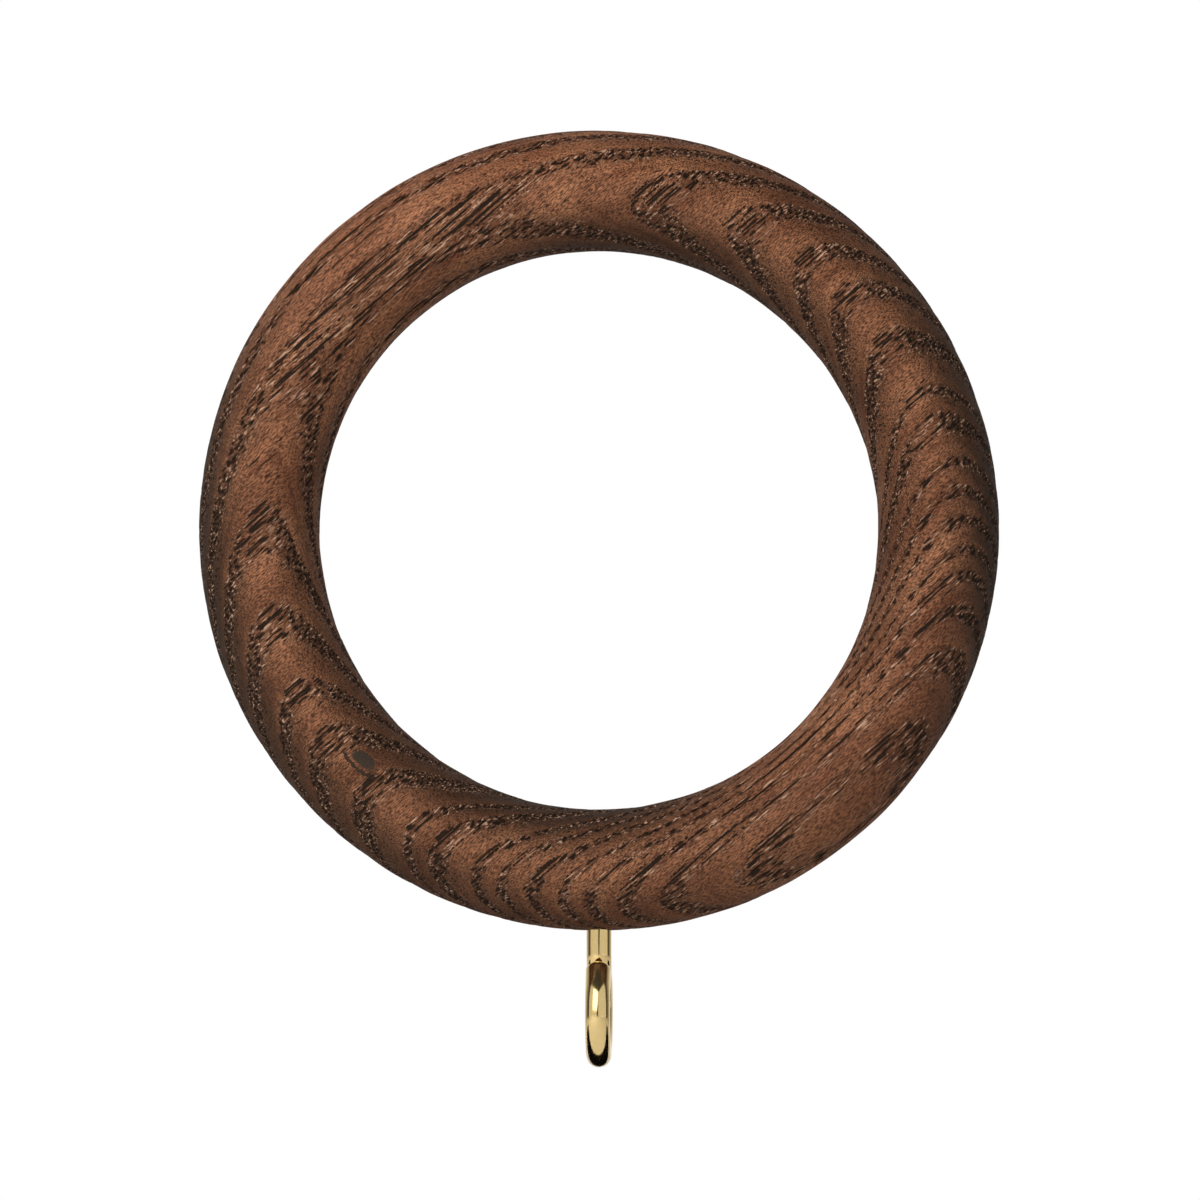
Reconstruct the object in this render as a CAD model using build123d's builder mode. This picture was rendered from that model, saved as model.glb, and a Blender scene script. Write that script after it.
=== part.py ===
"""A wooden curtain ring with a brass screw eye in its lowest point.

Millimetres and degrees. The origin is the centre of the ring, +Y runs along the pole that the ring slides on,
and +Z is up, so the eye hangs below the ring. The ring is looked at along +Y, and its far side is the rear.
"""

import os
from math import asin, cos, degrees, radians, sin, sqrt

from build123d import *

# Driving dimensions of the ring
ring_inner_diameter = 55.8
ring_thickness = 12.1  # the diameter of its round section

# Driving dimensions of the screw eye
wire_diameter = 2.5
eye_inner_diameter = 6.0
eye_drop = 13.7  # from the lowest point of the ring to the lowest point of the eye
eye_turn = 2.0  # how far past square to the ring the eye was screwed
neck_bend_radius = 2.0  # of the wire's centreline, where the shank turns into the eye
end_lean = 52.0  # of the wire's straight end from level, where it leaves the loop
closing_gap = 0.1  # between the shank's bend and the end of the wire, where the eye closes
end_chamfer = 0.45

# Driving dimensions of the screw, which stands inside the ring
wood_over_point = 2.6  # between the point and the inside of the ring
plain_depth = 1.0  # of the shank inside the ring, below the thread
point_length = 2.0
thread_inset = 0.05  # of the crest below the wire's surface
thread_depth = 0.35
thread_pitch = 1.2
thread_crest = 0.12
thread_root = 0.6
core_overlap = 0.1  # how far the thread is rooted in the core

# The ring's section, and its lowest points inside and outside
section_radius = ring_thickness / 2
section_centre_radius = ring_inner_diameter / 2 + section_radius
ring_inside_bottom = -ring_inner_diameter / 2
ring_bottom = ring_inside_bottom - ring_thickness

# The eye is a loop of wire whose centre is on the shank's axis
wire_radius = wire_diameter / 2
loop_radius = eye_inner_diameter / 2 + wire_radius
loop_centre = ring_bottom - eye_drop + loop_radius + wire_radius

# The shank leaves its axis in a bend that runs tangent into the loop, so the two arcs' centres and the point
# where they meet are in line
bend_centre_rise = sqrt(loop_radius**2 + 2 * loop_radius * neck_bend_radius)
bend_start = loop_centre + bend_centre_rise
neck_lean = degrees(asin(neck_bend_radius / (loop_radius + neck_bend_radius)))

# The end of the wire runs on straight from the loop, until the edge on its inside meets the front of the bend.
# Both are written from the loop's centre, to the rear and up.
loop_sweep = 360 - neck_lean - end_lean
end_direction = Vector(cos(radians(end_lean)), sin(radians(end_lean)))
inside_edge = Vector(-sin(radians(end_lean)), cos(radians(end_lean))) * eye_inner_diameter / 2
edge_from_bend = inside_edge - Vector(neck_bend_radius, bend_centre_rise)
bend_front_radius = neck_bend_radius + wire_radius + closing_gap
edge_along_end = edge_from_bend.dot(end_direction)
end_length = -edge_along_end - sqrt(edge_along_end**2 - edge_from_bend.length**2 + bend_front_radius**2)

# The screw's core and its heights
core_radius = wire_radius - thread_inset - thread_depth
thread_start = ring_bottom + plain_depth
screw_tip = ring_inside_bottom - wood_over_point
point_start = screw_tip - point_length
thread_turns = int((point_start - thread_start) / thread_pitch)

eye_plane = Plane.YZ.rotated((0, 0, -eye_turn))

# The screw eye: wire bent into a loop, with a thread around the thinner end of its shank
with BuildPart() as screw_eye:
    with BuildLine(eye_plane) as wire_line:
        shank = Line((0, thread_start), (0, bend_start))
        neck = JernArc(shank @ 1, shank % 1, neck_bend_radius, 90 - neck_lean)
        loop = JernArc(neck @ 1, neck % 1, loop_radius, -loop_sweep)
        PolarLine(loop @ 1, end_length, direction=loop % 1)
    with BuildSketch(Plane.XY.offset(thread_start)) as wire_section:
        Circle(wire_radius)
    sweep(path=wire_line.line)
    cut_end = screw_eye.faces().filter_by(GeomType.PLANE).sort_by(Axis.Z)[0]
    chamfer(cut_end.edges(), end_chamfer)

    with BuildSketch(Plane.XZ) as core_profile:
        with BuildLine():
            Polyline(
                (0, thread_start), (core_radius, thread_start), (core_radius, point_start), (0, screw_tip), close=True
            )
        make_face()
    revolve(axis=Axis.Z)

    with BuildLine() as thread_line:
        Helix(thread_pitch, thread_turns * thread_pitch, core_radius, center=(0, 0, thread_start))
    with BuildSketch(Plane(thread_line.line @ 0, x_dir=(1, 0, 0), z_dir=(0, -1, 0))) as thread_profile:
        with BuildLine():
            Polyline(
                (-core_overlap, -thread_root / 2),
                (thread_depth, -thread_crest / 2),
                (thread_depth, thread_crest / 2),
                (-core_overlap, thread_root / 2),
                close=True,
            )
        make_face()
    sweep(path=thread_line.line, is_frenet=True)
screw_eye.part.label = "screw_eye"

# The wooden ring: a round section turned about the pole, and the hole that the screw has cut in it
with BuildPart() as wooden_ring:
    with BuildSketch(Plane.XY) as ring_section:
        with Locations((section_centre_radius, 0)):
            Circle(section_radius)
    revolve(axis=Axis.Y)
    add(screw_eye.part, mode=Mode.SUBTRACT)
wooden_ring.part.label = "wooden_ring"

os.makedirs("parts", exist_ok=True)
for piece in (wooden_ring.part, screw_eye.part):
    export_step(piece, f"parts/{piece.label}.step")
    print(piece.label, "volume", round(piece.volume, 2), "mm3, valid", piece.is_valid)
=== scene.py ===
# %% [markdown]
# # A curtain ring of stained ash with a brass screw eye
# The object is two pieces. A ring was turned from ash, stained dark and waxed, and a length of brass
# wire, bent into an eye at one end and cut as a wood screw at the other, is screwed into the ring's
# lowest point. The solids of both are loaded first and stay fixed, so that whatever is built here takes
# its place and its size from them.

# %% Load the frame
from math import asin, cos, pi, radians, sin, sqrt, tan

import bpy
import numpy as np
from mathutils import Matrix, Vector


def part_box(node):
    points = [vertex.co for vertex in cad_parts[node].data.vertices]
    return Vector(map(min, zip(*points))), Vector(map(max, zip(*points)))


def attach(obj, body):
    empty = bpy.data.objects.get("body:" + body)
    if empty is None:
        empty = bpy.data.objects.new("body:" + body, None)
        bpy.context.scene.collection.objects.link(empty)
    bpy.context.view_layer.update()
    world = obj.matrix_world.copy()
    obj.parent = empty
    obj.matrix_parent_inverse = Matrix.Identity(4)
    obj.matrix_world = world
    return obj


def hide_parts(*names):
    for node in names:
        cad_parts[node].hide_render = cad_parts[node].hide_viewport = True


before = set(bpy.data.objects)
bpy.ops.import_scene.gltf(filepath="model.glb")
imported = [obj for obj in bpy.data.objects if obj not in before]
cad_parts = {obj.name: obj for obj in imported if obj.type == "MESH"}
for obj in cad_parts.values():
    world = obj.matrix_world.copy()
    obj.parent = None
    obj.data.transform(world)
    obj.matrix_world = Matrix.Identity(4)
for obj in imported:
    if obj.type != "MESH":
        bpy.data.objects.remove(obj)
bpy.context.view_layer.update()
scene = bpy.context.scene
scene.view_settings.view_transform = "Standard"
MM = 0.001  # the scene is in metres, and the object's sizes below are written in millimetres

# %% [markdown]
# The camera looks squarely along the pole that the ring slides on. A long lens from a metre away keeps
# the near side of the ring from swelling, and the middle of the picture lies a little below the ring's
# centre, because the eye hangs under it.

# %% Camera
view_width = 120.0  # what the picture spans at the ring, in mm
view_centre = (0.1, -6.95)  # across and up from the ring's centre, in mm
camera_distance = 1.0  # m
sensor_width = 36.0
camera = bpy.data.objects.new("camera", bpy.data.cameras.new("camera"))
camera.data.sensor_width = sensor_width
camera.data.lens = sensor_width * camera_distance / (view_width * MM)
camera.location = (view_centre[0] * MM, -camera_distance, view_centre[1] * MM)
camera.rotation_euler = (radians(90), 0, 0)
scene.collection.objects.link(camera)
scene.camera = camera
print("lens in mm:", round(camera.data.lens, 1))

# %% [markdown]
# Materials and light are made of nodes, and one small function adds a node with its settings and its
# links. An input is called by its label, or by its place in the node where labels repeat. A Map Range
# node takes its value at 0, the range that it reads at 1 and 2, and the range that it gives at 3 and 4.
# Colours are written the way a paint program shows them, as sRGB hex, and one function turns them to the
# linear values that light is reckoned in.


# %% Helpers for nodes and colours
def add_node(tree, kind, inputs=None, out=0, **settings):
    """Adds a node, fills or links its inputs, and returns one of its outputs."""
    node = tree.nodes.new(kind)
    for name, value in settings.items():
        setattr(node, name, value)
    for name, value in (inputs or {}).items():
        if isinstance(value, bpy.types.NodeSocket):
            tree.links.new(value, node.inputs[name])
        else:
            node.inputs[name].default_value = value
    return node.outputs[out] if node.outputs else None


def linear(hex_colour):
    """An sRGB hex colour as linear red, green, blue and an alpha of 1."""
    parts = [int(hex_colour[i : i + 2], 16) / 255 for i in (1, 3, 5)]
    return [c / 12.92 if c <= 0.04045 else ((c + 0.055) / 1.055) ** 2.4 for c in parts] + [1.0]


def add_material(name):
    """A material whose node tree is still empty."""
    material = bpy.data.materials.new(name)
    material.use_nodes = True
    material.node_tree.nodes.clear()
    return material


# %% [markdown]
# The studio is white. A plain white world would look the same behind the ring, but its light would come
# from all sides and flatten the shading. So rays are told apart. What the camera sees behind the ring is
# plain white at a strength of 1, and so is what polished metal sees straight behind it. To the sides a
# studio falls off into a dark room, and so does the white that metal sees. The rest of the world's light
# is a weak fill, so the white takes nothing from the ring's own shading.


# %% World
def find_rays(tree):
    """Tells which rays come from the camera, and which from things that mirror or let light through."""
    rays = tree.nodes.new("ShaderNodeLightPath").outputs
    mirror_rays = add_node(
        tree,
        "ShaderNodeMath",
        {0: rays["Is Glossy Ray"], 1: rays["Is Transmission Ray"]},
        operation="MAXIMUM",
    )
    return rays["Is Camera Ray"], mirror_rays


fill_level = 0.07
room_level = 0.05
backdrop_edge = 0.12  # how far to the rear a direction points where the backdrop begins, from 0 to 1
backdrop_falloff = 1.3
scene.world = bpy.data.worlds.new("white_studio")
scene.world.use_nodes = True
tree = scene.world.node_tree
tree.nodes.clear()
camera_rays, mirror_rays = find_rays(tree)
directions = add_node(tree, "ShaderNodeTexCoord", out="Generated")
rearward = add_node(tree, "ShaderNodeSeparateXYZ", {0: directions}, out="Y")
backdrop = add_node(tree, "ShaderNodeMapRange", {0: rearward, 1: backdrop_edge, 2: 1.0})
backdrop = add_node(tree, "ShaderNodeMath", {0: backdrop, 1: backdrop_falloff}, operation="POWER")
mirror_level = add_node(tree, "ShaderNodeMapRange", {0: backdrop, 3: room_level, 4: 1.0})
indirect_level = add_node(tree, "ShaderNodeMix", {0: mirror_rays, 2: fill_level, 3: mirror_level})
level = add_node(tree, "ShaderNodeMix", {0: camera_rays, 2: indirect_level, 3: 1.0})
white = add_node(tree, "ShaderNodeBackground", {"Color": linear("#ffffff"), "Strength": level})
add_node(tree, "ShaderNodeOutputWorld", {"Surface": white})
print("world: fill", fill_level, "under a white backdrop")

# %% [markdown]
# The light is a big white softbox on each side of the camera, a small bright one high on the left and a
# weaker one above the camera. Point lights would be simpler, but a polished wire mirrors its lights, and
# points would be specks on it. The big ones give the wire its two bright stripes, with a dark line
# between them where the camera stands. The bright one is the key that models the wood, and no mirror sees
# it. The weaker one puts the glint on the brass and the sheen on the wax. A fifth stands for what the
# white backdrop throws on the back of the ring. Mirrors see the backdrop itself, so they don't see that
# one either. A light is given by its radiance, the brightness that a mirror would show of it, and its
# power follows from its area.


# %% Softboxes
def add_softbox(name, azimuth, elevation, width, height, radiance, mirrored=True, distance=0.6):
    """An area light that faces the ring, sized in metres. Azimuth grows to the right of the camera."""
    light = bpy.data.lights.new(name, "AREA")
    light.shape = "RECTANGLE"
    light.size, light.size_y = width, height
    light.energy = radiance * pi * width * height
    softbox = bpy.data.objects.new(name, light)
    aside, rise = radians(azimuth), radians(elevation)
    towards = Vector((sin(aside) * cos(rise), -cos(aside) * cos(rise), sin(rise)))
    softbox.location = towards * distance
    softbox.rotation_euler = towards.to_track_quat("Z", "Y").to_euler()
    softbox.visible_camera = False
    softbox.visible_glossy = mirrored
    scene.collection.objects.link(softbox)
    print(name, "power", round(light.energy, 2), "W")


add_softbox("left_softbox", -46, 5, 1.00, 1.10, 0.68)
add_softbox("right_softbox", 46, 5, 1.00, 1.10, 0.68)
add_softbox("key_softbox", -46, 44, 0.36, 0.40, 6.8, mirrored=False)
add_softbox("front_softbox", -24, 25, 0.50, 0.50, 2.0)
add_softbox("rear_softbox", 180, 20, 1.20, 0.90, 1.60, mirrored=False)

# %% [markdown]
# The floor is pale and plain. It lies well under the ring, which hangs, and it takes a soft shadow. To
# the camera and to mirrors it also glows a little, so that it is nearly as white as the backdrop.

# %% Floor
floor_depth = 120.0  # below the ring's centre, in mm
floor_half = 0.7  # m
floor_glow = 0.12
floor_mesh = bpy.data.meshes.new("floor")
square = ((-1, -1), (1, -1), (1, 1), (-1, 1))
corners = [(x * floor_half, y * floor_half, -floor_depth * MM) for x, y in square]
floor_mesh.from_pydata(corners, [], [(0, 1, 2, 3)])
floor = bpy.data.objects.new("floor", floor_mesh)
scene.collection.objects.link(floor)
paper = add_material("white_paper")
tree = paper.node_tree
camera_rays, mirror_rays = find_rays(tree)
seen = add_node(tree, "ShaderNodeMath", {0: mirror_rays, 1: camera_rays}, operation="MAXIMUM")
glow_level = add_node(tree, "ShaderNodeMath", {0: seen, 1: floor_glow}, operation="MULTIPLY")
glow = add_node(tree, "ShaderNodeEmission", {"Color": linear("#ffffff"), "Strength": glow_level})
matte = add_node(tree, "ShaderNodeBsdfDiffuse", {"Color": linear("#c8c8c8")})
surface = add_node(tree, "ShaderNodeAddShader", {0: matte, 1: glow})
add_node(tree, "ShaderNodeOutputMaterial", {"Surface": surface})
floor_mesh.materials.append(paper)
print("floor at", -floor_depth, "mm")

# %% [markdown]
# Polished wire needs something dark to mirror, or its roundness is lost in the white. A black card lies
# on the floor under the eye and behind it. It is there for mirrors only, and gives the bottom of the eye
# its dark crescent.

# %% Black card
card_front, card_rear, card_half = 6, 140, 300  # mm
card_rise = 2  # above the floor, in mm
card_mesh = bpy.data.meshes.new("black_card")
front_edge = [(-card_half, card_front), (card_half, card_front)]
rear_edge = [(card_half, card_rear), (-card_half, card_rear)]
corners = [(x * MM, y * MM, (card_rise - floor_depth) * MM) for x, y in front_edge + rear_edge]
card_mesh.from_pydata(corners, [], [(0, 1, 2, 3)])
card = bpy.data.objects.new("black_card", card_mesh)
card.visible_camera = card.visible_diffuse = card.visible_shadow = card.visible_transmission = False
scene.collection.objects.link(card)
felt = add_material("black_felt")
matte = add_node(felt.node_tree, "ShaderNodeBsdfDiffuse", {"Color": linear("#0a0a0a")})
add_node(felt.node_tree, "ShaderNodeOutputMaterial", {"Surface": matte})
card_mesh.materials.append(felt)
print("black card from", card_front, "to", card_rear, "mm behind the ring's plane")

# %% [markdown]
# ## The screw eye
# The eye is one length of wire. It comes straight down out of the wood, bends to the rear, and runs round
# in a loop that closes in front of its own shank. A curve with a bevel would do for the loop, but the
# other end is a screw, with a point and a thread. So the wire is drawn as a row of stations, each with a
# centre, a direction and a radius all the way round, and the thread is only a radius that winds upward
# from station to station.

# %% Sizes of the wire
wire_radius = 1.25
loop_radius = 4.25  # to the middle of the wire
neck_radius = 2.0
end_lean = radians(52)  # of the wire's straight end from level
closing_gap = 0.1
end_chamfer = 0.45
eye_turn = radians(2)  # how far past square to the ring the eye was screwed
screw_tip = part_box("screw_eye")[1].z / MM
eye_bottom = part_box("screw_eye")[0].z / MM
ring_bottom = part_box("wooden_ring")[0].z / MM
loop_centre = eye_bottom + wire_radius + loop_radius
neck_rise = sqrt(loop_radius**2 + 2 * loop_radius * neck_radius)
neck_start = loop_centre + neck_rise
neck_lean = asin(neck_radius / (loop_radius + neck_radius))
end_direction = Vector((cos(end_lean), sin(end_lean)))
inside_edge = Vector((-sin(end_lean), cos(end_lean))) * (loop_radius - wire_radius)
from_neck = inside_edge - Vector((neck_radius, neck_rise))
along_end = from_neck.dot(end_direction)
neck_front = neck_radius + wire_radius + closing_gap
end_length = -along_end - sqrt(along_end**2 - from_neck.length_squared + neck_front**2)
print("screw tip", round(screw_tip, 2), "mm, bottom of the eye", round(eye_bottom, 2), "mm")
print("straight end of the wire", round(end_length, 2), "mm")

# %% [markdown]
# A station is (distance to the rear, height, the direction's two parts, radius). The shank runs down, the
# neck turns to the rear about a centre behind it, and the loop turns the other way about its own centre.
# Its last stretch is straight, as a bending pin leaves it, and stops just short of the neck. The cutter
# left a bevel there, and the barrel that the eyes were polished in has rounded its edges.

# %% Stations of shank, neck, loop and end
plain_depth = 1.0
edge_round = 0.07
shank_steps, neck_steps, loop_steps, end_steps = 14, 22, 150, 12
thread_start = ring_bottom + plain_depth
stations = [(0, z, 0, -1, wire_radius) for z in np.linspace(thread_start, neck_start, shank_steps)[:-1]]
for a in np.linspace(0, pi / 2 - neck_lean, neck_steps)[:-1]:
    back, height = neck_radius - neck_radius * cos(a), neck_start - neck_radius * sin(a)
    stations.append((back, height, sin(a), -cos(a), wire_radius))
for a in np.linspace(neck_lean, 2 * pi - end_lean, loop_steps):
    back, height = loop_radius * sin(a), loop_centre + loop_radius * cos(a)
    stations.append((back, height, cos(a), -sin(a), wire_radius))
bevel = end_length - end_chamfer
run_out = [(d, wire_radius) for d in np.linspace(0, bevel - edge_round, end_steps)[1:]]
run_out.append((bevel + edge_round, wire_radius - edge_round))
run_out.append((end_length - edge_round, wire_radius - end_chamfer + edge_round))
run_out.append((end_length, wire_radius - end_chamfer - edge_round))
back, height, to_back, to_height, _ = stations[-1]
for d, r in run_out:
    stations.append((back + d * to_back, height + d * to_height, to_back, to_height, r))
stations = np.array(stations)
print(len(stations), "stations of plain wire")

# %% [markdown]
# The screw is the part of the shank that nobody sees. Its core is thinner than the wire, a ridge winds up
# it by one pitch in a turn, and both run out in the point.

# %% Stations of the screw
around = 48
screw_steps = 110
core_radius = 0.85
thread_depth = 0.35
thread_pitch = 1.2
thread_crest = 0.12
thread_root = 0.6
thread_begin = 0.25  # of a turn, where the ridge leaves the plain wire
point_length = 2.0
point_blunt = 0.05
turn = np.linspace(0, 2 * pi, around, endpoint=False)
heights = np.linspace(screw_tip - point_blunt, thread_start, screw_steps)
to_tip = (screw_tip - heights)[:, None]
core = core_radius * np.clip(to_tip / point_length, 0, 1)
from_crest = (heights[:, None] - thread_start) / thread_pitch + turn[None, :] / (2 * pi) - thread_begin
from_crest = np.abs(from_crest - np.round(from_crest)) * thread_pitch
ridge = np.clip((thread_root / 2 - from_crest) / (thread_root / 2 - thread_crest / 2), 0, 1)
fade = np.clip((to_tip - point_length) / thread_pitch, 0, 1)
screw_radius = core + thread_depth * ridge * fade
screw = np.array([(0, z, 0, -1) for z in heights])
print(len(heights), "stations of screw, widest", round(float(screw_radius.max()), 2), "mm")


# %% [markdown]
# Both pieces are made from lists of points and faces, so one function turns such lists into an object. It
# also keeps the map that unrolls the surface flat, because it is known exactly while the faces are being
# laid.


# %% Pieces from points
def add_piece(name, points, faces, face_uvs):
    """A mesh object from points in mm, with a map that unrolls it and smooth shading."""
    mesh = bpy.data.meshes.new(name)
    mesh.from_pydata((np.asarray(points) * MM).tolist(), [], faces)
    unrolled = mesh.uv_layers.new(name="OFBake")
    unrolled.data.foreach_set("uv", np.concatenate([np.ravel(uv) for uv in face_uvs]))
    mesh.polygons.foreach_set("use_smooth", [True] * len(mesh.polygons))
    piece = bpy.data.objects.new(name, mesh)
    scene.collection.objects.link(piece)
    return piece


# %% [markdown]
# The stations become rings of points, and neighbouring rings are joined by faces. The two ends are closed
# with a fan of triangles. The map that unrolls the wire runs along it in one direction and round it in
# the other.

# %% Wire mesh
rear = np.array([sin(eye_turn), cos(eye_turn), 0])
side = np.array([cos(eye_turn), -sin(eye_turn), 0])
up = np.array([0, 0, 1.0])
path = np.vstack([screw, stations[:, :4]])
radius = np.vstack([screw_radius, np.repeat(stations[:, 4:], around, axis=1)])
centres = path[:, :1] * rear + path[:, 1:2] * up
outward = -path[:, 3:4] * rear + path[:, 2:3] * up
rings = centres[:, None] + radius[:, :, None] * (
    np.cos(turn)[None, :, None] * outward[:, None] + np.sin(turn)[None, :, None] * side
)
count = len(rings)
wire_length = np.concatenate([[0], np.cumsum(np.linalg.norm(np.diff(centres, axis=0), axis=1))])
wire_share = 0.97  # of the map, and the two ends have the rest
along = wire_share * wire_length / wire_length[-1]
points = np.vstack([rings.reshape(-1, 3), centres[:1], centres[-1:]])
faces, face_uvs = [], []
for i in range(count - 1):
    for j in range(around):
        k = (j + 1) % around
        faces.append((i * around + j, i * around + k, (i + 1) * around + k, (i + 1) * around + j))
        u0, u1, v0, v1 = j / around, (j + 1) / around, along[i], along[i + 1]
        face_uvs.append(((u0, v0), (u1, v0), (u1, v1), (u0, v1)))
for end, centre in ((0, count * around), (count - 1, count * around + 1)):
    for j in range(around):
        pair = (end * around + j, end * around + (j + 1) % around)
        faces.append((centre, *(pair[::-1] if end == 0 else pair)))
        low, high = (wire_share, (1 + wire_share) / 2) if end == 0 else ((1 + wire_share) / 2, 1)
        face_uvs.append(((j / around, low), (j / around, high), ((j + 1) / around, high)))
screw_eye = add_piece("brass_screw_eye", points, faces, face_uvs)
print("screw eye:", len(faces), "faces,", round(float(wire_length[-1]), 1), "mm of wire")

# %% [markdown]
# ## The ring
# The ring was cut from a board of ash and turned to a round section. Blender's own torus has this shape,
# but here the grid is laid out, so that its map is known. Its quads measure about 0.3 mm, round the
# ring and round the section, which is as coarse as the open pores allow: they are cut into this mesh.

# %% Plain ring
ring_low, ring_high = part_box("wooden_ring")
section_radius = (ring_high.y - ring_low.y) / 2 / MM
centre_radius = ring_high.x / MM - section_radius
steps_along, steps_across = 720, 128
ring_share = 0.96  # of the map, and the screw's hole has the rest
i, j = (a.ravel() for a in np.meshgrid(np.arange(steps_along), np.arange(steps_across), indexing="ij"))
ring_angle, section_angle = 2 * pi * i / steps_along, 2 * pi * j / steps_across
from_axis = centre_radius + section_radius * np.cos(section_angle)
x, z = from_axis * np.cos(ring_angle), from_axis * np.sin(ring_angle)
y = section_radius * np.sin(section_angle)
points = np.stack([x, y, z], axis=1)
next_i, next_j = (i + 1) % steps_along, (j + 1) % steps_across
quad = ((i, j), (i, next_j), (next_i, next_j), (next_i, j))
faces = np.stack([a * steps_across + b for a, b in quad], axis=1)
u0, u1 = i / steps_along, (i + 1) / steps_along
v0, v1 = ring_share * j / steps_across, ring_share * (j + 1) / steps_across
face_uvs = np.stack([u0, v0, u0, v1, u1, v1, u1, v0], axis=1)
ring = add_piece("turned_wooden_ring", points, faces.tolist(), face_uvs)
print("ring: section", round(2 * section_radius, 2), "mm,", len(faces), "quads")

# %% [markdown]
# ## How the wood grew
# Ash is ring-porous. Each spring the tree lays down a band of wide vessels, and in summer a dense band
# with hardly any, so a cut board shows dark porous stripes and smooth ones. Every year is a tube around
# the pith, the middle of the trunk. The stripes on the ring are those tubes cut by its round surface, so
# the pattern is grown in space and not painted on: the place of the pith, the direction of the grain and
# the widths of the years make all of it, on the back and in the hole too.

# %% The board that the ring was cut from
grain_angle = radians(41.1)  # of the grain above level, seen from the front
grain_lean = radians(-0.3)  # of the grain out of the ring's plane
grain_bow = 0.0005  # per mm, how fast the grain bends away from straight
pith_aside, pith_behind = 46.0, 95.3  # mm from the ring's centre: across the grain, and to the rear
first_year = 84.85  # mm from the pith to the first year that the ring reaches
year_widths = [2.4, 2.4, 2.3, 2.4, 2.4, 2.3, 2.5, 2.3, 2.25, 2.45, 2.0, 2.5]
year_widths += [3.0, 1.3, 2.2, 1.3, 1.2, 1.3, 1.0, 1.2, 1.5, 2.0, 2.0, 2.0]
last_year = first_year + sum(year_widths)
print(len(year_widths), "years, from", first_year, "to", round(last_year, 2), "mm from the pith")


# %% [markdown]
# The same growth has to be read twice: by the mesh, which is cut where the pores are, and by the
# material, which is dark there. The nodes for arithmetic, noise and cells are the same in both kinds of
# node tree, so the functions below lay them out in either. Almost everything in wood is drawn out along
# the grain, so the first of them turns a place to the grain's own directions, and the second makes noise
# that is long in one of them.


# %% Streaks along the grain
def find_board(tree, place):
    """Turns a place in metres to mm in the board: along the grain, through the ring, across the grain."""
    in_mm = add_node(tree, "ShaderNodeVectorMath", {0: place, "Scale": 1 / MM}, operation="SCALE")
    return add_node(
        tree, "ShaderNodeVectorRotate", {"Vector": in_mm, "Angle": grain_angle}, rotation_type="Y_AXIS"
    )


noise_low, noise_high = 0.25, 0.75  # nearly all of Blender's noise lies between these


def add_streaks(tree, board, length, width, low=0.0, high=1.0, detail=2.0):
    """Noise from low to high, in streaks of this length along the grain and this width across it, in mm."""
    per_mm = (1 / length, 1 / width, 1 / width)
    scaled = add_node(tree, "ShaderNodeVectorMath", {0: board, 1: per_mm}, operation="MULTIPLY")
    noise = add_node(tree, "ShaderNodeTexNoise", {"Vector": scaled, "Scale": 1, "Detail": detail})
    return add_node(tree, "ShaderNodeMapRange", {0: noise, 1: noise_low, 2: noise_high, 3: low, 4: high})


# %% [markdown]
# A year is found from the distance to the pith. The curve of the years turns that distance into a count,
# and what is left over after whole years is the season. Springwood starts at once with the year and thins
# out raggedly. Small vessels go on coming until late in summer.


# %% Years
wander = 0.1125  # mm, how far a year strays to either side of a true tube
spring_begun, spring_fades, spring_over = 0.06, 0.34, 0.62  # seasons, in shares of a year
late_fades, late_over = 0.75, 0.95
raggedness = 0.07


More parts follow.
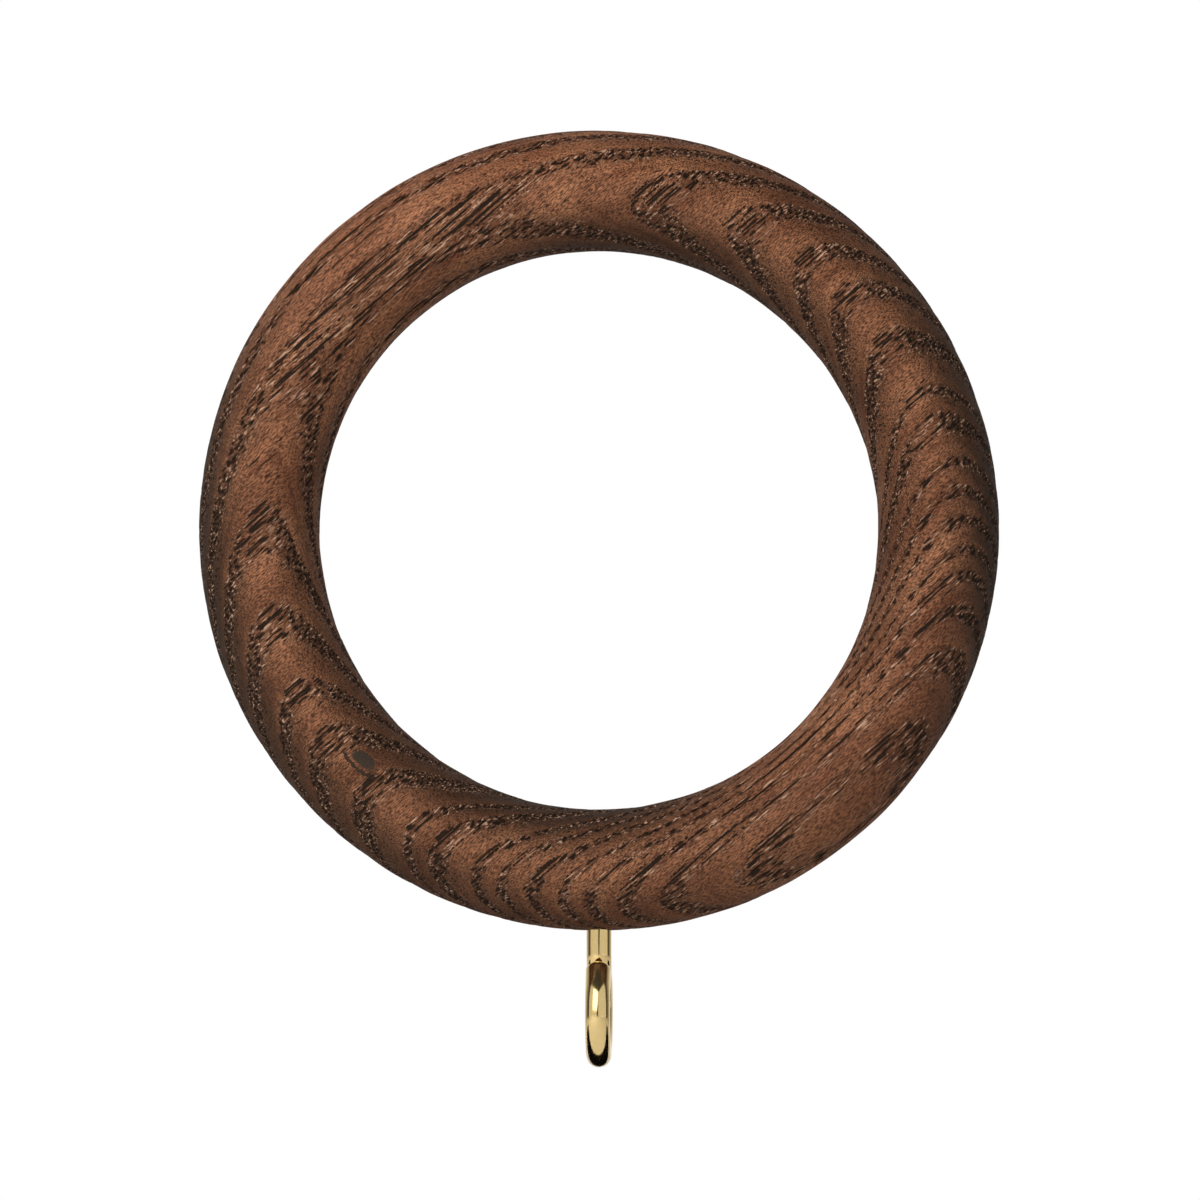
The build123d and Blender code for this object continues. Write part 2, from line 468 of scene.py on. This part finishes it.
def grow_years(tree, board):
    """How far a place has wide or small vessels, from 0 to 1, and how many mm it is from the pith."""
    along, through, across = add_node(tree, "ShaderNodeSeparateXYZ", {0: board}).node.outputs
    bend = add_node(
        tree, "ShaderNodeMath", {0: along, 1: grain_bow, 2: tan(grain_lean)}, operation="MULTIPLY_ADD"
    )
    bend = add_node(tree, "ShaderNodeMath", {0: bend, 1: along, 2: pith_behind}, operation="MULTIPLY_ADD")
    behind = add_node(tree, "ShaderNodeMath", {0: bend, 1: through}, operation="SUBTRACT")
    aside = add_node(tree, "ShaderNodeMath", {0: across, 1: pith_aside}, operation="SUBTRACT")
    from_pith = add_node(tree, "ShaderNodeCombineXYZ", {0: aside, 1: behind})
    from_pith = add_node(tree, "ShaderNodeVectorMath", {0: from_pith}, operation="LENGTH", out="Value")
    stray = add_streaks(tree, board, length=20, width=4, low=-wander, high=wander)
    from_pith = add_node(tree, "ShaderNodeMath", {0: stray, 1: from_pith}, operation="ADD")

    age = add_node(tree, "ShaderNodeMapRange", {0: from_pith, 1: first_year, 2: last_year})
    age = add_node(tree, "ShaderNodeFloatCurve", {"Value": age})
    years = age.node.mapping.curves[0].points
    for n in range(1, len(year_widths)):
        years.new(sum(year_widths[:n]) / sum(year_widths), n / len(year_widths))
    for point in years:
        point.handle_type = "VECTOR"
    age.node.mapping.update()
    age = add_node(tree, "ShaderNodeMath", {0: age, 1: len(year_widths)}, operation="MULTIPLY")
    season = add_node(tree, "ShaderNodeMath", {0: age}, operation="FRACT")

    begun = add_node(
        tree, "ShaderNodeMapRange", {0: season, 1: 0.0, 2: spring_begun}, interpolation_type="SMOOTHSTEP"
    )
    ragged = add_streaks(tree, board, length=6, width=0.8, low=-raggedness, high=raggedness, detail=1)
    ragged = add_node(tree, "ShaderNodeMath", {0: ragged, 1: season}, operation="ADD")
    spring = add_node(
        tree,
        "ShaderNodeMapRange",
        {0: ragged, 1: spring_over, 2: spring_fades, 4: begun},
        interpolation_type="SMOOTHSTEP",
    )
    late = add_node(tree, "ShaderNodeMapRange", {0: ragged, 1: late_over, 2: late_fades, 4: begun})
    return spring, late, from_pith


# %% [markdown]
# Vessels are the tubes that carried the sap. They run on along the grain for centimetres, so they are the
# cells of a flat foam, drawn across the grain and carried along it, each with its own girth: wide in the
# springwood and almost gone in summer, apart from a few stragglers. A slow noise pinches them here and
# there. Where the surface cuts them along, they are grooves of a few millimetres, and where it cuts them
# across, on the end grain, they are round pits. The small late vessels show there only.

# %% Vessels
grain = (cos(grain_angle), 0, sin(grain_angle))
vessel_spacing = 0.38  # mm
vessel_disorder = 0.75  # 0 would set the vessels in straight rows
vessel_girths = (0.36, 0.54)  # thinnest and widest, as radii, of the spacing
vessel_floor, vessel_wall = 0.72, 1.4  # of the girth: where the floor begins, and where the wall ends
straggler_chances = (0.88, 0.94)  # the cells above these are stragglers, faintly and fully
straggler_share = 0.5  # of a springwood vessel's girth
late_shown = (0.2, 0.55)  # how squarely the grain is cut where late vessels begin to show, and where all do
late_share = 0.55  # of it too


def find_end_grain(tree, normal):
    """How squarely the surface cuts the grain across, from 0 to 1."""
    on_grain = add_node(
        tree, "ShaderNodeVectorMath", {0: normal, 1: grain}, operation="DOT_PRODUCT", out="Value"
    )
    return add_node(tree, "ShaderNodeMath", {0: on_grain}, operation="ABSOLUTE")


def grow_vessels(tree, board, spring, late, end_grain):
    """How far each place is inside a vessel, and how far it is a wall between two, both from 0 to 1."""
    _, through, across = add_node(tree, "ShaderNodeSeparateXYZ", {0: board}).node.outputs
    foam = add_node(tree, "ShaderNodeCombineXYZ", {0: through, 1: across})
    to_vessel = add_node(
        tree,
        "ShaderNodeTexVoronoi",
        {"Vector": foam, "Scale": 1 / vessel_spacing, "Randomness": vessel_disorder},
        voronoi_dimensions="2D",
    )
    chances = add_node(tree, "ShaderNodeSeparateXYZ", {0: to_vessel.node.outputs["Color"]}).node.outputs
    girth = add_node(tree, "ShaderNodeMapRange", {0: chances[0], 3: vessel_girths[0], 4: vessel_girths[1]})
    pinched = add_streaks(tree, board, length=4.5, width=0.3, low=0.5, high=1.2, detail=1)
    girth = add_node(tree, "ShaderNodeMath", {0: girth, 1: pinched}, operation="MULTIPLY")
    stragglers = add_node(
        tree,
        "ShaderNodeMapRange",
        {0: chances[1], 1: straggler_chances[0], 2: straggler_chances[1], 4: straggler_share},
    )
    shown = add_node(
        tree, "ShaderNodeMapRange", {0: end_grain, 1: late_shown[0], 2: late_shown[1], 4: late_share}
    )
    porous = add_node(tree, "ShaderNodeMath", {0: late, 1: shown}, operation="MULTIPLY")
    porous = add_node(tree, "ShaderNodeMath", {0: porous, 1: spring}, operation="MAXIMUM")
    share = add_node(tree, "ShaderNodeMath", {0: porous, 1: stragglers}, operation="MAXIMUM")
    wide = add_node(tree, "ShaderNodeMath", {0: share, 1: girth}, operation="MULTIPLY")
    deep = add_node(tree, "ShaderNodeMath", {0: wide, 1: vessel_floor}, operation="MULTIPLY")
    vessel = add_node(
        tree, "ShaderNodeMapRange", {0: to_vessel, 1: wide, 2: deep}, interpolation_type="SMOOTHSTEP"
    )
    beyond = add_node(tree, "ShaderNodeMath", {0: wide, 1: vessel_wall}, operation="MULTIPLY")
    wall = add_node(tree, "ShaderNodeMapRange", {0: to_vessel, 1: wide, 2: beyond, 4: spring})
    return vessel, wall


# %% [markdown]
# A lathe tool and sandpaper wear the soft springwood deeper than the summer wood, they cut vessels open,
# and the hand that holds the paper leaves the surface a little wavy. A bump in the material alone would
# leave the outline smooth, so geometry nodes move each point of the mesh by that much.

# %% Open grain cut into the mesh
spring_depth, vessel_depth, wave_depth = 0.05, 0.12, 0.05  # mm
cut = bpy.data.node_groups.new("open_grain", "GeometryNodeTree")
cut.interface.new_socket("Geometry", in_out="INPUT", socket_type="NodeSocketGeometry")
cut.interface.new_socket("Geometry", in_out="OUTPUT", socket_type="NodeSocketGeometry")
whole = add_node(cut, "NodeGroupInput")
place = add_node(cut, "GeometryNodeInputPosition")
board = find_board(cut, place)
spring, late, _ = grow_years(cut, board)
normal = add_node(cut, "GeometryNodeInputNormal")
vessel, _ = grow_vessels(cut, board, spring, late, find_end_grain(cut, normal))
depth = add_streaks(cut, board, length=9, width=6, low=-wave_depth, high=wave_depth)
depth = add_node(cut, "ShaderNodeMath", {0: vessel, 1: -vessel_depth, 2: depth}, operation="MULTIPLY_ADD")
depth = add_node(cut, "ShaderNodeMath", {0: spring, 1: -spring_depth, 2: depth}, operation="MULTIPLY_ADD")
depth = add_node(cut, "ShaderNodeMath", {0: depth, 1: MM}, operation="MULTIPLY")
offset = add_node(cut, "ShaderNodeVectorMath", {0: normal, "Scale": depth}, operation="SCALE")
moved = add_node(cut, "GeometryNodeSetPosition", {"Geometry": whole, "Offset": offset})
add_node(cut, "NodeGroupOutput", {0: moved})
ring.modifiers.new("open_grain", "NODES").node_group = cut
print("open grain:", len(cut.nodes), "nodes")

# %% [markdown]
# The screw cuts its own hole. A copy of it is taken away from the wood, so the thread has its groove. The
# copy's map is first pressed into the strip that the ring's own map leaves free, and the faces of the
# hole get their places from it.

# %% Screw hole
cutter = bpy.data.objects.new("screw_cutter", screw_eye.data.copy())
cutter_map = cutter.data.uv_layers["OFBake"].data
map_places = np.empty(2 * len(cutter_map))
cutter_map.foreach_get("uv", map_places)
map_places[1::2] = (1 + ring_share) / 2 + map_places[1::2] * (1 - ring_share) / 2
cutter_map.foreach_set("uv", map_places)
scene.collection.objects.link(cutter)
hole = ring.modifiers.new("screw_hole", "BOOLEAN")
hole.operation, hole.object, hole.solver = "DIFFERENCE", cutter, "MANIFOLD"
finished = bpy.data.meshes.new_from_object(ring.evaluated_get(bpy.context.evaluated_depsgraph_get()))
ring.modifiers.clear()
ring.data = finished
bpy.data.objects.remove(cutter)
triangles = sum(len(face.vertices) - 2 for face in finished.polygons)
print("cut ring:", len(finished.vertices), "points,", triangles, "triangles")

# %% [markdown]
# ## Stained ash
# The stain sinks into the open springwood and its vessels and leaves them nearly black, and lies thinner
# on the dense summer wood, which stays red-brown. Springwood that is cut along the grain takes less of it
# than where it is cut across. The eye sees rows of fine dark pits where vessels are cut across, long dark
# grooves where they are cut along, pale painted glints on the ridges between them, and a fine
# salt-and-pepper grain on the summer wood. Real fibres are too fine to show, so that grain is drawn as
# coarse as it needs to show.


# %% Summer wood and springwood
def blend(tree, share, first, second):
    """Mixes two colours, each a hex string or a socket."""
    first, second = (linear(c) if isinstance(c, str) else c for c in (first, second))
    return add_node(tree, "ShaderNodeMix", {0: share, 6: first, 7: second}, data_type="RGBA", out=2)


growth_line_width = 0.35  # mm
growth_line_share = 0.8
soaked_ends = (0.1, 0.6)  # how squarely the grain is cut where soaking begins to grow, and where it is full
soaked_least = 0.4  # of full, where springwood is cut along the grain
ash = add_material("stained_ash")
tree = ash.node_tree
place = add_node(tree, "ShaderNodeTexCoord", out="Object")
board = find_board(tree, place)
spring, late, from_pith = grow_years(tree, board)
normal = tree.nodes.new("ShaderNodeNewGeometry").outputs["Normal"]
end_grain = find_end_grain(tree, normal)
vessel, wall = grow_vessels(tree, board, spring, late, end_grain)
fibre = add_streaks(tree, board, length=0.45, width=0.09, low=-0.75, high=1.65)  # the blends clip it
patch = add_streaks(tree, board, length=16, width=5)
growth_lines = add_node(
    tree, "ShaderNodeTexNoise", {"W": from_pith, "Scale": 1 / growth_line_width}, noise_dimensions="1D"
)
patch = add_node(
    tree, "ShaderNodeMath", {0: growth_lines, 1: growth_line_share, 2: patch}, operation="MULTIPLY_ADD"
)
patch = add_node(tree, "ShaderNodeMath", {0: patch, 1: growth_line_share / 2}, operation="SUBTRACT")
summer_wood = blend(tree, fibre, "#472919", "#aa7350")
tint = blend(tree, patch, "#a58c80", "#ffffff")
summer_wood = add_node(
    tree, "ShaderNodeMix", {0: 1.0, 6: summer_wood, 7: tint}, data_type="RGBA", blend_type="MULTIPLY", out=2
)
springwood = blend(tree, fibre, "#28150c", "#5a3827")
soaked = add_node(
    tree, "ShaderNodeMapRange", {0: end_grain, 1: soaked_ends[0], 2: soaked_ends[1], 3: soaked_least}
)
soaked = add_node(tree, "ShaderNodeMath", {0: spring, 1: soaked}, operation="MULTIPLY")
colour = blend(tree, soaked, summer_wood, springwood)
print("wood under the stain:", len(tree.nodes), "nodes")

# %% [markdown]
# The flanks, where the section turns away from the front and the back, are painted a little darker than
# the two faces, as painted shade. The ring is darkest where the fibres meet the surface end-on, at the
# upper right and the lower left, because end grain drinks the most stain. It also stays heavier outside
# at the left and right, where the ring was held, and inside at the top and bottom, where the cloth didn't
# reach. The colour is also painted a little lighter towards the top and darker towards the bottom, as
# painted light from above. Over the stain lie pale painted glints on the ridges between the springwood
# vessels, standing in for highlights, and the vessels themselves.

# %% Depth of the stain, with painted shade and painted light
# painted shade: the flanks are painted darker than the faces, by this share
painted_rim_shade_share = 0.1
drunk_ends = (0.05, 0.55)  # how squarely the grain is cut where drinking begins, and where it is full
drunk_share = 0.6
held_share = 0.36 / ring_high.x  # per metre from the ring's centre
# painted light from above: lighter towards the top and darker towards the bottom, by this share
painted_top_light_share = 0.12 / ring_high.x
on_face = add_node(tree, "ShaderNodeSeparateXYZ", {0: normal}, out="Y")
flank = add_node(tree, "ShaderNodeMath", {0: on_face, 1: on_face}, operation="MULTIPLY")
flank = add_node(tree, "ShaderNodeMath", {0: 1.0, 1: flank}, operation="SUBTRACT")
drunk = add_node(
    tree, "ShaderNodeMapRange", {0: end_grain, 1: drunk_ends[0], 2: drunk_ends[1], 4: drunk_share}
)
# the painted rim shade joins the stain's real depth here
depth = add_node(tree, "ShaderNodeMath", {0: flank, 1: painted_rim_shade_share, 2: drunk}, operation="MULTIPLY_ADD")
above = add_node(tree, "ShaderNodeSeparateXYZ", {0: place}, out="Z")
# the painted light from above joins the stain's depth here
depth = add_node(tree, "ShaderNodeMath", {0: above, 1: -painted_top_light_share, 2: depth}, operation="MULTIPLY_ADD")
held = add_node(
    tree, "ShaderNodeVectorMath", {0: place, 1: (held_share, 0, -held_share)}, operation="MULTIPLY"
)
held = add_node(tree, "ShaderNodeVectorMath", {0: held, 1: normal}, operation="DOT_PRODUCT", out="Value")
depth = add_node(tree, "ShaderNodeMath", {0: depth, 1: held}, operation="ADD", use_clamp=True)
colour = blend(tree, depth, colour, "#2a1b12")
# painted glints: pale flecks on the walls between springwood vessels, standing in for highlights
glints = add_streaks(tree, board, length=1.6, width=0.15, low=-2.8, high=1.8)  # mostly below 0: few show
ridge = add_node(tree, "ShaderNodeMath", {0: wall, 1: glints}, operation="MULTIPLY", use_clamp=True)
colour = blend(tree, ridge, colour, "#a88770")
colour = blend(tree, vessel, colour, "#0c0501")
print("with the stain:", len(tree.nodes), "nodes")

# %% [markdown]
# One small flaw marks the front: a pin knot, where a thin shoot left the trunk. It is a grey-brown oval
# with a broken dark line beside it, which runs a few millimetres into the wood. It could be painted on
# the map, but a place in space with its own three half sizes keeps it round and lets it run inward as a
# real one does.

# %% Pin knot
knot_place = (-23.4, -6.0, -22.8)
knot_tilt = radians(-40)  # of its long way, seen from the front
knot_size = (1.3, 2.5, 0.65)  # half its length, its depth and half its width, in mm
knot_blur = 0.1  # of a half size, to either side of its edge
crack_round, crack_half = 1.75, 0.26  # half sizes from the knot's middle, and half the crack's own width
crack_ends = (-0.7, -1.1)  # half sizes below the middle where the crack begins, and where it is full
to_origin = [-c * MM for c in knot_place]
from_knot = add_node(
    tree, "ShaderNodeMapping", {"Vector": place, "Location": to_origin}, vector_type="POINT"
)
from_knot = add_node(
    tree, "ShaderNodeVectorRotate", {"Vector": from_knot, "Angle": knot_tilt}, rotation_type="Y_AXIS"
)
per_half = [1 / (c * MM) for c in knot_size]
in_knot = add_node(tree, "ShaderNodeVectorMath", {0: from_knot, 1: per_half}, operation="MULTIPLY")
knot_edge = add_node(tree, "ShaderNodeVectorMath", {0: in_knot}, operation="LENGTH", out="Value")
frayed = add_streaks(tree, board, length=0.7, width=0.4, low=-0.3, high=0.3, detail=3)
knot_edge = add_node(tree, "ShaderNodeMath", {0: knot_edge, 1: frayed}, operation="ADD")
knot = add_node(
    tree,
    "ShaderNodeMapRange",
    {0: knot_edge, 1: 1 + knot_blur, 2: 1 - knot_blur},
    interpolation_type="SMOOTHSTEP",
)
colour = blend(tree, knot, colour, "#27211c")
below = add_node(tree, "ShaderNodeSeparateXYZ", {0: in_knot}, out="Z")
below = add_node(tree, "ShaderNodeMapRange", {0: below, 1: crack_ends[0], 2: crack_ends[1]})
crack = add_node(tree, "ShaderNodeMath", {0: knot_edge, 1: crack_round, 2: crack_half}, operation="COMPARE")
crack = add_node(tree, "ShaderNodeMath", {0: crack, 1: below}, operation="MULTIPLY")
colour = blend(tree, crack, colour, "#211812")
print("with the pin knot:", len(tree.nodes), "nodes")

# %% [markdown]
# The wax is thin and satin, and duller on the springwood and on the flanks, which were rubbed less. It
# only shows as a broad sheen towards the softboxes and as glints on the edges of the pits. Pits and
# fibres are finer than the mesh, so besides the mesh a bump follows them.

# %% Wax and finish
summer_rough, spring_rough, flank_rough = 0.4, 0.6, 0.35
pit_depth, fibre_height = 0.12, 0.02  # mm
rough = add_node(tree, "ShaderNodeMapRange", {0: spring, 3: summer_rough, 4: spring_rough})
rough = add_node(tree, "ShaderNodeMath", {0: flank, 1: flank_rough, 2: rough}, operation="MULTIPLY_ADD")
height = add_node(tree, "ShaderNodeMath", {0: vessel, 1: -pit_depth}, operation="MULTIPLY")
height = add_node(tree, "ShaderNodeMath", {0: fibre, 1: fibre_height, 2: height}, operation="MULTIPLY_ADD")
bump = add_node(tree, "ShaderNodeBump", {"Strength": 1.0, "Distance": MM, "Height": height})
surface = add_node(
    tree,
    "ShaderNodeBsdfPrincipled",
    {
        "Base Color": colour,
        "Roughness": rough,
        "Specular IOR Level": 0.44,
        "Specular Tint": linear("#e0c0a8"),
        "Normal": bump,
    },
)
add_node(tree, "ShaderNodeOutputMaterial", {"Surface": surface})
ring.data.materials.clear()
ring.data.materials.append(ash)
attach(ring, "root")
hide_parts("wooden_ring")
print("stained ash:", len(tree.nodes), "nodes")

# %% [markdown]
# ## Polished brass
# The wire was drawn through a die, bent, cut and barrel-polished. It mirrors the studio, so nearly all
# that the eye sees on it is softboxes and dark gaps, warmed by the metal's own colour. The die left faint
# lines along the wire, and handling has dulled it unevenly. Real lines are too fine to show, so they are
# drawn coarser. Both are read from the map that unrolls the wire, in mm around and along it.

# %% Polished brass
die_line_width, die_line_length, die_line_depth = 0.08, 3, 0.01  # mm
dull_patch = 5 / 6  # mm
dull_ends = (0.3, 0.7)  # the noise where dulling begins, and where it is full
bright_rough, dull_rough = 0.09, 0.17
brass = add_material("polished_brass")
tree = brass.node_tree
unrolled = add_node(tree, "ShaderNodeTexCoord", out="UV")
wire_size = (2 * pi * wire_radius, float(wire_length[-1]) / wire_share, 0)
unrolled = add_node(tree, "ShaderNodeVectorMath", {0: unrolled, 1: wire_size}, operation="MULTIPLY")
per_line = (1 / die_line_width, 1 / die_line_length, 1)
die_lines = add_node(tree, "ShaderNodeVectorMath", {0: unrolled, 1: per_line}, operation="MULTIPLY")
die_lines = add_node(tree, "ShaderNodeTexNoise", {"Vector": die_lines, "Scale": 1, "Detail": 2})
dulled = add_node(tree, "ShaderNodeTexNoise", {"Vector": unrolled, "Scale": 1 / dull_patch, "Detail": 3})
colour = blend(tree, dulled, "#f2d79a", "#e2c283")
roughness = add_node(
    tree,
    "ShaderNodeMapRange",
    {0: dulled, 1: dull_ends[0], 2: dull_ends[1], 3: bright_rough, 4: dull_rough},
)
bump = add_node(
    tree, "ShaderNodeBump", {"Strength": 0.4, "Distance": die_line_depth * MM, "Height": die_lines}
)
surface = add_node(
    tree,
    "ShaderNodeBsdfPrincipled",
    {"Base Color": colour, "Metallic": 1.0, "Roughness": roughness, "Normal": bump},
)
add_node(tree, "ShaderNodeOutputMaterial", {"Surface": surface})
screw_eye.data.materials.append(brass)
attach(screw_eye, "root")
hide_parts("screw_eye")
print("polished brass:", len(tree.nodes), "nodes")
